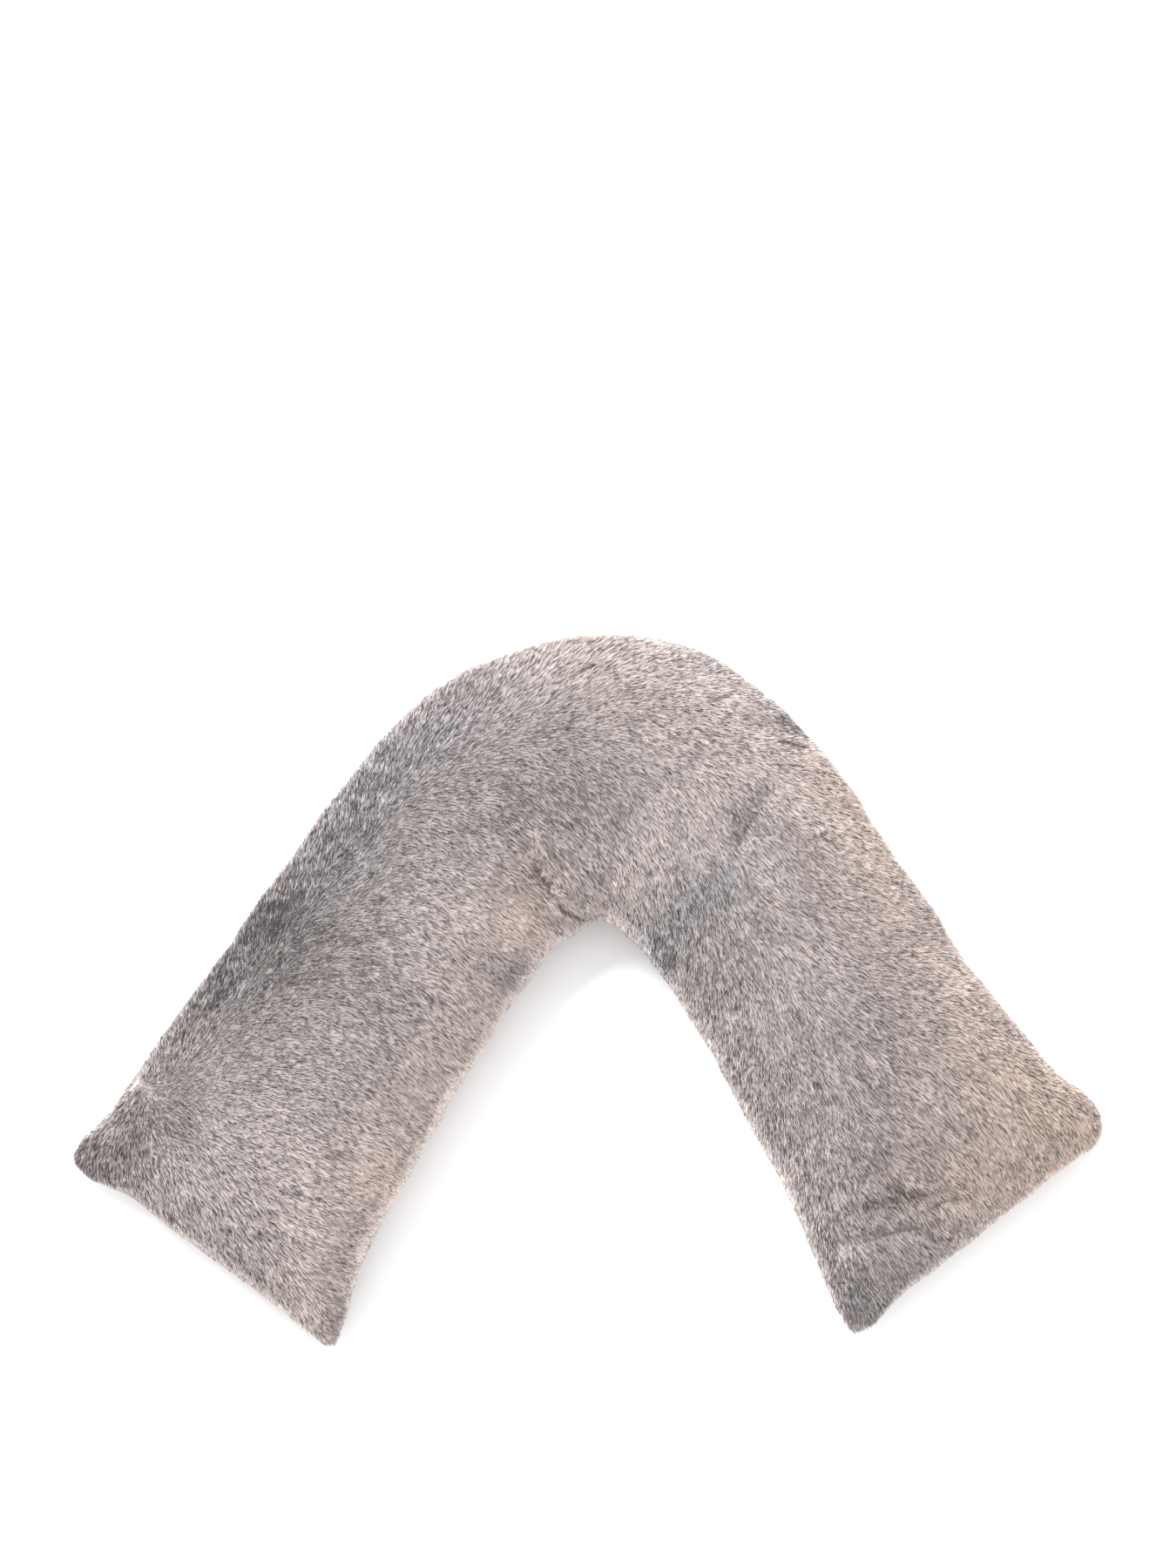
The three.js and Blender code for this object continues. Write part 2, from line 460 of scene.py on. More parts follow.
def smoothed(values: np.ndarray, pairs: np.ndarray, rounds: int, share: float = 0.5) -> np.ndarray:
    """Evens out values over a mesh's edges.

    Args:
        values: One row a point.
        pairs: The mesh's edges.
        rounds: How many times.
        share: How far each value moves to its neighbours' mean.

    Returns:
        The evened values.
    """
    first, second = pairs[:, 0], pairs[:, 1]
    count = np.bincount(pairs.ravel(), minlength=len(values)).astype(float)
    count = np.maximum(count, 1.0)
    result = values.astype(float).copy()
    columns = result.reshape(len(result), -1)
    for _ in range(rounds):
        total = np.zeros_like(columns)
        for k in range(columns.shape[1]):
            total[:, k] = np.bincount(first, columns[second, k], len(values))
            total[:, k] += np.bincount(second, columns[first, k], len(values))
        columns += share * (total / count[:, None] - columns)
    return columns.reshape(result.shape)


def write_attribute(mesh: Mesh, name: str, values: np.ndarray) -> None:
    """Stores a number or a vector at each point of a mesh.

    Args:
        mesh: The mesh.
        name: The attribute's name.
        values: One row a point.
    """
    kind = "FLOAT" if values.ndim == 1 else "FLOAT_VECTOR"
    attribute = mesh.attributes.new(name, kind, "POINT")
    attribute.data.foreach_set("value" if values.ndim == 1 else "vector", values.astype(np.float32).ravel())


def read_attribute(mesh: Mesh, name: str) -> np.ndarray:
    """The number stored under a name at each point of a mesh.

    Args:
        mesh: The mesh.
        name: The attribute's name.

    Returns:
        One number a point.
    """
    values = np.empty(len(mesh.vertices), np.float32)
    mesh.attributes[name].data.foreach_get("value", values)
    return values.astype(float)


def plain_mesh(piece: Piece) -> None:
    """Turns what a piece's modifiers make into its own mesh, and removes them.

    Args:
        piece: The piece.
    """
    graph = bpy.context.evaluated_depsgraph_get()
    made = bpy.data.meshes.new_from_object(piece.evaluated_get(graph), depsgraph=graph)
    piece.modifiers.clear()
    old = piece.data
    piece.data = made
    bpy.data.meshes.remove(old)
    made.name = piece.name


def linked(name: str, mesh: Mesh) -> Piece:
    """Puts a mesh into the scene.

    Args:
        name: The new piece's name.
        mesh: Its mesh.

    Returns:
        The piece.
    """
    piece = bpy.data.objects.new(name, mesh)
    bpy.context.scene.collection.objects.link(piece)
    return piece


# Node trees.


class Graph:
    """Adds nodes to one tree and joins them."""

    def __init__(self, tree: Tree) -> None:
        """Keeps the tree that the nodes go to."""
        self.tree = tree

    def feed(self, socket: Socket, value: object) -> None:
        """Links an output to a socket, or sets the socket's own value.

        Args:
            socket: An input.
            value: What it gets.
        """
        if isinstance(value, Socket):
            self.tree.links.new(value, socket)
        else:
            socket.default_value = value

    def add(self, kind: str, values: dict[str | int, object] | None = None, **options: object) -> Node:
        """Adds a node.

        Args:
            kind: The node's type.
            values: An output to link, or a value, for each input, by name or number.
            options: The node's own settings.

        Returns:
            The node.
        """
        node = self.tree.nodes.new(kind)
        for name, option in options.items():
            setattr(node, name, option)
        for key, value in (values or {}).items():
            if isinstance(key, int):
                socket = node.inputs[key]
            else:
                socket = next(s for s in node.inputs if s.name == key and s.enabled)
            self.feed(socket, value)
        return node

    def out(self, node: Node, name: str | None = None) -> Socket:
        """The first live output of a node, or the live one of that name."""
        return next(s for s in node.outputs if s.enabled and name in (None, s.name))

    def math(self, operation: str, *values: object, clamp: bool = False) -> Socket:
        """The result of a sum on numbers."""
        node = self.add("ShaderNodeMath", dict(enumerate(values)), operation=operation, use_clamp=clamp)
        return node.outputs[0]

    def vector(self, operation: str, *values: object) -> Socket:
        """The result of a sum on vectors."""
        node = self.add("ShaderNodeVectorMath", dict(enumerate(values)), operation=operation)
        return self.out(node)

    def scaled(self, vector: object, factor: object) -> Socket:
        """A vector times a number."""
        node = self.add("ShaderNodeVectorMath", {0: vector, "Scale": factor}, operation="SCALE")
        return self.out(node)

    def stretch(
        self, value: object, low: float, high: float, to_low: float = 0.0, to_high: float = 1.0
    ) -> Socket:
        """A number mapped from one range to another, and kept in it.

        Args:
            value: The number.
            low: Start of its range.
            high: End of its range.
            to_low: Start of the new range.
            to_high: End of the new range.

        Returns:
            The mapped number.
        """
        node = self.add(
            "ShaderNodeMapRange",
            {"Value": value, "From Min": low, "From Max": high, "To Min": to_low, "To Max": to_high},
        )
        return self.out(node)

    def mixed(self, factor: object, first: object, second: object, how: str = "MIX") -> Socket:
        """Two colours mixed.

        Args:
            factor: Share of the second.
            first: The first colour.
            second: The second colour.
            how: The way in which they mix.

        Returns:
            The mixed colour.
        """
        node = self.add(
            "ShaderNodeMix",
            {"Factor": factor, "A": first, "B": second},
            data_type="RGBA",
            blend_type=how,
        )
        return self.out(node)

    def store(self, geometry: Socket, name: str, value: Socket) -> Socket:
        """Stores a number at each point of a geometry.

        Args:
            geometry: The geometry.
            name: The attribute's name.
            value: The number.

        Returns:
            The geometry that holds it.
        """
        node = self.add(
            "GeometryNodeStoreNamedAttribute",
            {"Geometry": geometry, "Name": name, "Value": value},
            data_type="FLOAT",
            domain="POINT",
        )
        return node.outputs[0]


def new_material(name: str) -> tuple[Material, Graph]:
    """Makes a material with no nodes yet.

    Args:
        name: Its name.

    Returns:
        The material, and what adds its nodes.
    """
    material = bpy.data.materials.new(name)
    material.use_nodes = True
    material.node_tree.nodes.clear()
    return material, Graph(material.node_tree)


# The padded body.


@dataclass
class PaddedBody:
    """The filled cover without its pile.

    Args:
        lie: How the V lies.
        creases: The folds in its front.
        voxel: Size of the cells of its skin.
        pile_height: How far the skin lies under the tips of the pile.
        swell_room: How much smaller still it starts, before it swells.
        pressure: Pressure of the filling.
        frames: Steps of the simulation.
        cap: How far a point may swell.
        thin_share: Share of the thickness that the pile may take where it is thin.
        bed: Height of the flat underside, which leaves room for flattened pile.
        seam_hold: How level the skin has to face to be held by the seam, as a share.
        seam_reach: How much nearer the seam lies to the tips of the pile.
        seam_depth: Depth of the seam's groove.
        seam_width: How level the skin has to face for the groove, as a share.
        regain: How much of the form that smoothing takes off is given back.
        lumps: Size and rise of each kind of unevenness.
        resting_slope: How far down the skin faces where it rests, as a share.
        hold_from: Least hold that the simulation is given.
        ray_start: How far inside the skin its thickness is measured from.
        far: Thickness where none is found.
        top_gain: How fast creases reach their depth as the skin turns to face up.
    """

    lie: Lie
    creases: tuple[Crease, ...] = CREASES
    voxel: float = 0.0055
    pile_height: float = 0.0027
    swell_room: float = 0.0010
    pressure: float = 4.0
    frames: int = 20
    cap: float = 0.0070
    thin_share: float = 0.36
    bed: float = 0.0040
    seam_hold: float = 0.30
    seam_reach: float = 0.0027
    seam_depth: float = 0.0009
    seam_width: float = 0.10
    regain: float = 0.42
    lumps: tuple[tuple[float, float], ...] = ((0.040, 0.0020), (0.016, 0.0008))
    resting_slope: float = -0.6
    hold_from: float = 0.02
    ray_start: float = 1e-4
    far: float = 1.0
    top_gain: float = 1.5

    def build(self, node: Piece) -> Piece:
        """Makes the body from a copy of the solid.

        Args:
            node: The solid's object.

        Returns:
            The body.
        """
        body = linked("pillow_body", node.data.copy())
        self.merge(body.data)
        remesh = body.modifiers.new("even skin", "REMESH")
        remesh.mode = "VOXEL"
        remesh.voxel_size = self.voxel
        plain_mesh(body)
        held = self.draw_in(body.data)
        self.swell(body, held)
        self.finish_skin(body.data)
        body.data.shade_smooth()
        log.info("body: %d faces", len(body.data.polygons))
        return body

    @staticmethod
    def merge(mesh: Mesh) -> None:
        """Joins the solid's loose triangles at their points.

        Args:
            mesh: A copy of the solid's mesh.
        """
        work = bmesh.new()
        work.from_mesh(mesh)
        bmesh.ops.remove_doubles(work, verts=work.verts, dist=1e-6)
        work.to_mesh(mesh)
        work.free()

    def draw_in(self, mesh: Mesh) -> np.ndarray:
        """Moves the skin inwards, less at the seam, underneath and where the pillow is thin.

        Args:
            mesh: The skin.

        Returns:
            How firmly each point is held by the seam or the surface below, from 0 to 1.
        """
        places = coordinates(mesh)
        normals = point_normals(mesh)
        pairs = edge_pairs(mesh)
        level = smoothed(normals, pairs, rounds=3)
        seam = np.exp(-((level[:, 2] / self.seam_hold) ** 2))
        near_seam = smoothed(seam, pairs, rounds=2)
        resting = (places[:, 2] < self.bed) & (level[:, 2] < self.resting_slope)
        held = np.clip(np.maximum(near_seam, resting), 0.0, 1.0)
        depth = self.pile_height + self.swell_room * (1.0 - held) - self.seam_reach * near_seam
        skin = BVHTree.FromPolygons(places.tolist(), [list(p.vertices) for p in mesh.polygons])
        thickness = np.full(len(places), self.far)
        for i, (place, normal) in enumerate(zip(places, normals)):
            inward = -Vector(normal)
            *_, distance = skin.ray_cast(Vector(place) + inward * self.ray_start, inward)
            if distance is not None:
                thickness[i] = distance
        move = smoothed(np.minimum(depth, self.thin_share * thickness), pairs, rounds=4)
        set_coordinates(mesh, places - normals * move[:, None])
        return held

    def swell(self, body: Piece, held: np.ndarray) -> None:
        """Swells the body by its filling's pressure, with a cap on each point's motion.

        Args:
            body: The body.
            held: How firmly each point is held, from 0 to 1.
        """
        start = coordinates(body.data)
        group = body.vertex_groups.new(name="held")
        for i in np.flatnonzero(held > self.hold_from):
            group.add([int(i)], float(held[i]), "REPLACE")
        cloth = body.modifiers.new("swell", "CLOTH")
        cloth.settings.use_pressure = True
        cloth.settings.uniform_pressure_force = self.pressure
        cloth.settings.effector_weights.gravity = 0
        cloth.settings.vertex_group_mass = group.name
        cloth.point_cache.frame_start = 1
        cloth.point_cache.frame_end = self.frames
        scene = bpy.context.scene
        for frame in range(1, self.frames + 1):
            scene.frame_set(frame)
        swollen = body.evaluated_get(bpy.context.evaluated_depsgraph_get()).to_mesh()
        move = coordinates(swollen) - start
        body.modifiers.remove(cloth)
        body.vertex_groups.remove(group)
        scene.frame_set(1)
        length = np.linalg.norm(move, axis=1)
        log.info("swelling: mean %.1f mm, most %.1f mm", 1000 * length.mean(), 1000 * length.max())
        move *= np.minimum(1.0, self.cap / np.maximum(length, 1e-9))[:, None]
        set_coordinates(body.data, start + smoothed(move, edge_pairs(body.data), rounds=2))

    def finish_skin(self, mesh: Mesh) -> None:
        """Evens the skin, presses in the creases and the seam, and lays it flat.

        Args:
            mesh: The skin.
        """
        pairs = edge_pairs(mesh)
        places = smoothed(coordinates(mesh), pairs, rounds=3)
        places = smoothed(places, pairs, rounds=3, share=-self.regain)
        set_coordinates(mesh, places)
        normals = smoothed(point_normals(mesh), pairs, rounds=4)
        normals /= np.linalg.norm(normals, axis=1)[:, None]
        depth = self.crease_depth(places) * np.clip(normals[:, 2] * self.top_gain, 0.0, 1.0)
        for size, rise in self.lumps:
            depth -= rise * np.array([noise.noise(Vector(place) / size) for place in places])
        depth += self.seam_depth * np.exp(-((normals[:, 2] / self.seam_width) ** 2))
        places = places - normals * depth[:, None]
        places[:, 2] = np.maximum(places[:, 2], self.bed)
        set_coordinates(mesh, places)

    def crease_depth(self, places: np.ndarray) -> np.ndarray:
        """How deep the creases are, seen from above.

        Args:
            places: Places, one a row.

        Returns:
            One depth a place.
        """
        spread = np.stack(self.lie.unbend(places), 1)
        depth = np.zeros(len(places))
        for crease in self.creases:
            share = stretch_distance(spread, crease.start, crease.end) / crease.width
            depth += crease.depth * np.exp(-(share**2))
        return depth


# The lie of the pile.


@dataclass
class Brushing:
    """How the cover is brushed and toned.

    Args:
        strokes: Strokes of the brush over the front.
        zones: Places of another tone.
        partings: Lines along which the pile parts.
        stroke_reach: How wide a stroke is.
        stroke_power: How fast a stroke gives way to the next, past its width.
        base_tone: Tone where no zone is.
        base_warmth: Warmth where no zone is.
        overhang: How much the pile on the sides points down.
        outward_pull: How much it points outwards there.
        back_heading: Way that the tips point on the back, from +X towards +Y.
        bed_cover: Share of the pile left where the pillow rests.
        bed_margin: Height over the flat underside at which the pillow still rests.
        front_slope: How far down the skin may face and still have the front's tones.
        seam_trim: How much shorter the pile is along the seam, as a share.
        crease_trim: How much shorter it is in a crease.
        painted_crease_shade: Painted shade, how much darker the pile is painted in a crease.
        crease_full: Depth of crease at which both are full.
        rim_from: How level the skin faces where the rim begins, as a share.
        rim_full: How level it faces where the rim is full.
        painted_rim_sheen: Painted sheen, how much paler the pile is painted on the rim.
        rim_trim: How much shorter it is there.
        parting_trim: How much shorter it is at a full parting.
        least_trim: Least share of its length that pile keeps in a parting.
        fine_reach: Reach of the finer mesh beside a parting.
    """

    strokes: tuple[Stroke, ...] = STROKES
    zones: tuple[Zone, ...] = ZONES
    partings: tuple[Parting, ...] = PARTINGS
    stroke_reach: float = 0.030
    stroke_power: float = 1.5
    base_tone: float = 0.62
    base_warmth: float = 0.36
    overhang: float = 0.9
    outward_pull: float = 0.25
    back_heading: float = math.radians(-60)
    bed_cover: float = 0.16
    bed_margin: float = 5e-4
    front_slope: float = -0.1
    seam_trim: float = 0.12
    crease_trim: float = 0.20
    painted_crease_shade: float = 0.06
    crease_full: float = 0.006
    rim_from: float = 0.58
    rim_full: float = 0.38
    painted_rim_sheen: float = 0.15
    rim_trim: float = 0.32
    parting_trim: float = 0.50
    least_trim: float = 0.3
    fine_reach: float = 0.012

    def write(self, mesh: Mesh, body: PaddedBody) -> None:
        """Stores the way, tone, warmth, trim and cover of the pile on the skin, with painted shade in the
        creases and a painted sheen on the rim in the tone.

        Args:
            mesh: The skin.
            body: What the skin belongs to.
        """
        places = coordinates(mesh)
        normals = point_normals(mesh)
        pairs = edge_pairs(mesh)
        level = smoothed(normals, pairs, rounds=4)
        crease = np.clip(body.crease_depth(places) / self.crease_full, 0.0, 1.0) * (level[:, 2] > 0)
        seam = np.exp(-((level[:, 2] / body.seam_width) ** 2))
        tone, warmth = self.tones(places)
        tone = np.where(level[:, 2] > self.front_slope, tone, self.base_tone)
        # Painted sheen: where the skin faces sideways the pile is painted paler, as a rim seen at a
        # glancing angle; it is also cut shorter there.
        rim = (self.rim_from - np.abs(level[:, 2])) / (self.rim_from - self.rim_full)
        rim = np.clip(rim, 0.0, 1.0)
        tone += self.painted_rim_sheen * rim
        write_attribute(mesh, "comb", self.ways(places, level))
        # Painted shade: the pile is painted darker in the creases.
        write_attribute(mesh, "tone", tone - self.painted_crease_shade * crease)
        write_attribute(mesh, "warmth", warmth)
        trim = 1.0 - self.rim_trim * rim - self.seam_trim * seam - self.crease_trim * crease
        write_attribute(mesh, "trim", trim)
        resting = places[:, 2] < body.bed + self.bed_margin
        cover = smoothed(np.where(resting, self.bed_cover, 1.0), pairs, rounds=3)
        write_attribute(mesh, "cover", cover)

    def part(self, scalp: Mesh) -> None:
        """Parts the pile of a scalp along its thin lines, on a finer mesh there.

        Args:
            scalp: The front of the skin, or part of it.
        """
        for _ in range(2):
            work = bmesh.new()
            work.from_mesh(scalp)
            middles = np.array([(e.verts[0].co + e.verts[1].co)[:] for e in work.edges]) / 2
            nearest = np.min([self.line_distance(middles, parting) for parting in self.partings], axis=0)
            close = [edge for edge, far in zip(work.edges, nearest) if far < self.fine_reach]
            bmesh.ops.subdivide_edges(work, edges=close, cuts=1, use_grid_fill=True)
            bmesh.ops.triangulate(work, faces=[f for f in work.faces if len(f.verts) > 4])
            work.to_mesh(scalp)
            work.free()
        places = coordinates(scalp)
        tone = read_attribute(scalp, "tone")
        trim = read_attribute(scalp, "trim")
        # Painted shade: along each parting the tufts are painted darker, for their dark roots and the shade
        # in the gap, and cut shorter.
        for parting in self.partings:
            share = np.exp(-((self.line_distance(places, parting) / parting.width) ** 2))
            tone -= parting.strength * share
            trim -= self.parting_trim * parting.strength * share
        trim = np.maximum(trim, self.least_trim)
        for name, values in (("tone", tone), ("trim", trim)):
            scalp.attributes[name].data.foreach_set("value", values.astype(np.float32))

    @staticmethod
    def line_distance(places: np.ndarray, parting: Parting) -> np.ndarray:
        """How far places are from a parting, seen from above."""
        stretches = zip(parting.line, parting.line[1:])
        return np.min([stretch_distance(places[:, :2], a, b) for a, b in stretches], axis=0)

    def ways(self, places: np.ndarray, level: np.ndarray) -> np.ndarray:
        """The way that the pile points.

        Args:
            places: Places, one a row.
            level: The outward direction at each, evened out.

        Returns:
            One direction a place.
        """
        flow = np.zeros((len(places), 3))
        for stroke in self.strokes:
            apart = places[:, :2] - np.array((stroke.x, stroke.y))
            weight = 1.0 / ((apart**2).sum(1) + self.stroke_reach**2) ** self.stroke_power
            heading = math.radians(stroke.heading)
            flow[:, 0] += weight * math.cos(heading)
            flow[:, 1] += weight * math.sin(heading)
        flow /= np.linalg.norm(flow, axis=1)[:, None]
        back = np.array((math.cos(self.back_heading), math.sin(self.back_heading), 0.0))
        flow[level[:, 2] < 0] = back
        side = 1.0 - np.abs(level[:, 2])
        flow[:, 2] -= self.overhang * side
        outward = level * np.array((1.0, 1.0, 0.0))
        flow += self.outward_pull * outward * (level[:, 2:3] > 0)
        return flow

    def tones(self, places: np.ndarray) -> tuple[np.ndarray, np.ndarray]:
        """The tone and the warmth of the pile.

        Args:
            places: Places, one a row.

        Returns:
            One tone and one warmth a place.
        """
        tone = np.full(len(places), self.base_tone)
        warmth = np.full(len(places), self.base_warmth)
        for zone in self.zones:
            share = stretch_distance(places[:, :2], zone.start, zone.end) / zone.width
            strength = np.exp(-(share**2))
            tone += zone.tone * strength
            warmth += zone.warmth * strength
        return tone, warmth


# The pile's finish.


@dataclass(frozen=True)
class PileFinish:
    """The colours of the pile, from its roots to its tips.

    Args:
        root: What a tip's colour is multiplied by at its root.
        dark_tip: Tips of the darkest tufts.
        pale_tip: Tips of the palest tufts.
        cool: What the coolest tufts are multiplied by.
        warm: What the warmest tufts are multiplied by.
        root_reach: Share of a tuft over which the root's colour fades.
        bands: Steps of warmth on the tufts' own map.
        map_edge: Margin of each band, as a share of it.
        map_side: Margin beside the tones, as a share of the map.
        roughness: Roughness of the pile.
        sheen: Weight of its sheen.
        sheen_roughness: Roughness of its sheen.
        specular: Strength of its plain reflection.
        grain_scale: Grains in a metre of the cloth between the tufts.
        grain_detail: Detail of that grain.
        grain_range: Range of the grain that is mapped.
        fibre_range: What it is mapped to, as places along a tuft.
        bump_strength: Strength of its bump.
        bump_height: Height of its bump.
    """

    root: tuple[float, float, float, float] = (0.62, 0.60, 0.60, 1.0)
    dark_tip: tuple[float, float, float, float] = (0.060, 0.051, 0.052, 1.0)
    pale_tip: tuple[float, float, float, float] = (0.881, 0.807, 0.788, 1.0)
    cool: tuple[float, float, float, float] = (0.97, 0.99, 1.03, 1.0)
    warm: tuple[float, float, float, float] = (1.05, 0.955, 0.86, 1.0)
    root_reach: float = 0.34
    bands: int = 4
    map_edge: float = 0.06
    map_side: float = 0.02
    roughness: float = 0.75
    sheen: float = 0.15
    sheen_roughness: float = 0.5
    specular: float = 0.2
    grain_scale: float = 420.0
    grain_detail: float = 3.0
    grain_range: tuple[float, float] = (0.30, 0.70)
    fibre_range: tuple[float, float] = (0.05, 0.42)
    bump_strength: float = 0.6
    bump_height: float = 0.002

    def tone_group(self) -> Tree:
        """Makes the colour of pile from its tone, its warmth and the place along a tuft.

        Returns:
            The group of nodes.
        """
        tree = bpy.data.node_groups.new("pile_colour", "ShaderNodeTree")
        for name in ("Tone", "Warmth", "Along"):
            tree.interface.new_socket(name, in_out="INPUT", socket_type="NodeSocketFloat")
        tree.interface.new_socket("Color", in_out="OUTPUT", socket_type="NodeSocketColor")
        graph = Graph(tree)
        given = {s.name: s for s in graph.add("NodeGroupInput").outputs}
        tip = graph.mixed(given["Tone"], self.dark_tip, self.pale_tip)
        tint = graph.mixed(given["Warmth"], self.cool, self.warm)
        tinted = graph.mixed(1.0, tip, tint, "MULTIPLY")
        fade = graph.add(
            "ShaderNodeMapRange",
            {"Value": given["Along"], "From Min": 0.0, "From Max": self.root_reach},
            interpolation_type="SMOOTHSTEP",
        )
        shaded = graph.mixed(1.0, tinted, self.root, "MULTIPLY")
        colour = graph.mixed(graph.out(fade), shaded, tinted)
        graph.add("NodeGroupOutput", {"Color": colour})
        return tree

    def strand_material(self, group: Tree) -> Material:
        """Makes the finish of the tufts, read from their own map.

        Args:
            group: The colour of pile.

        Returns:
            The finish.
        """
        material, graph = new_material("pile")
        own_map = graph.add("ShaderNodeUVMap", uv_map=STRAND_MAP)
        place = graph.add("ShaderNodeSeparateXYZ", {0: graph.out(own_map)})
        tone = graph.stretch(place.outputs["X"], self.map_side, 1.0 - self.map_side)
        step = graph.math("MULTIPLY", place.outputs["Y"], float(self.bands))
        band = graph.math("FLOOR", step)
        warmth = graph.math("DIVIDE", band, float(self.bands - 1), clamp=True)
        along = graph.stretch(graph.math("FRACT", step), self.map_edge, 1.0 - self.map_edge)
        self.shader(graph, self.coloured(graph, group, tone, warmth, along))
        return material

    def ground_material(self, group: Tree) -> Material:
        """Makes the finish of the cloth between the tufts, dark as their roots are.

        Args:
            group: The colour of pile.

        Returns:
            The finish.
        """
        material, graph = new_material("pile_ground")
        tone = graph.add("ShaderNodeAttribute", attribute_name="tone").outputs["Fac"]
        warmth = graph.add("ShaderNodeAttribute", attribute_name="warmth").outputs["Fac"]
        place = graph.add("ShaderNodeTexCoord").outputs["Object"]
        grain = graph.add(
            "ShaderNodeTexNoise",
            {"Vector": place, "Scale": self.grain_scale, "Detail": self.grain_detail},
        ).outputs[0]
        fibre = graph.stretch(grain, *self.grain_range, *self.fibre_range)
        bump = graph.add(
            "ShaderNodeBump",
            {"Strength": self.bump_strength, "Distance": self.bump_height, "Height": grain},
        )
        colour = self.coloured(graph, group, tone, warmth, fibre)
        self.shader(graph, colour, bump.outputs["Normal"])
        return material

    @staticmethod
    def coloured(graph: Graph, group: Tree, tone: Socket, warmth: Socket, along: Socket) -> Socket:
        """Places the colour of pile in a material.

        Args:
            graph: The material's nodes.
            group: The colour of pile.
            tone: How pale the pile is.
            warmth: How warm it is.
            along: The place along a tuft.

        Returns:
            The colour.
        """
        node = graph.add("ShaderNodeGroup", node_tree=group)
        for name, value in (("Tone", tone), ("Warmth", warmth), ("Along", along)):
            graph.feed(node.inputs[name], value)
        return node.outputs["Color"]

    def shader(self, graph: Graph, colour: Socket, normal: Socket | None = None) -> None:
        """Ends a material in its shader.

        Args:
            graph: The material's nodes.
            colour: Its colour.
            normal: Its bumped normal, if it has one.
        """
        shader = graph.add("ShaderNodeBsdfPrincipled", {"Base Color": colour})
        shader.inputs["Roughness"].default_value = self.roughness
        shader.inputs["Sheen Weight"].default_value = self.sheen
        shader.inputs["Sheen Roughness"].default_value = self.sheen_roughness
        shader.inputs["Specular IOR Level"].default_value = self.specular
        if normal is not None:
            graph.feed(shader.inputs["Normal"], normal)
        graph.add("ShaderNodeOutputMaterial", {"Surface": shader.outputs["BSDF"]})


# The pile itself.


@dataclass(frozen=True)
class Growth:
    """How one patch of pile grows.

    Args:
        name: The piece's name.
        panel: The panel that it grows on.
        low: Where it starts along the V.
        high: Where it ends along the V.
        tufts: About how many tufts it has.
        seed: Seed of all that is random in it.
        width: Width of a tuft at its root.
    """

    name: str
    panel: Panel
    low: float
    high: float
    tufts: int
    seed: int
    width: float = 0.00088


TREE_SIZES = (
    "Spacing",
    "Density",
    "Length",
    "Width",
    "Lean",
    "Lean Spread",
    "Swirl",
    "Stray",
    "Clump",
    "Fleck Scale",
    "Tone Drift",
    "Tone Spread",
    "Root Sink",
    "Floor Gap",
)
STORED = ("comb", "tone", "warmth", "trim", "cover", "tuft_tone", "tuft_band", "up_tuft", "side_tuft")


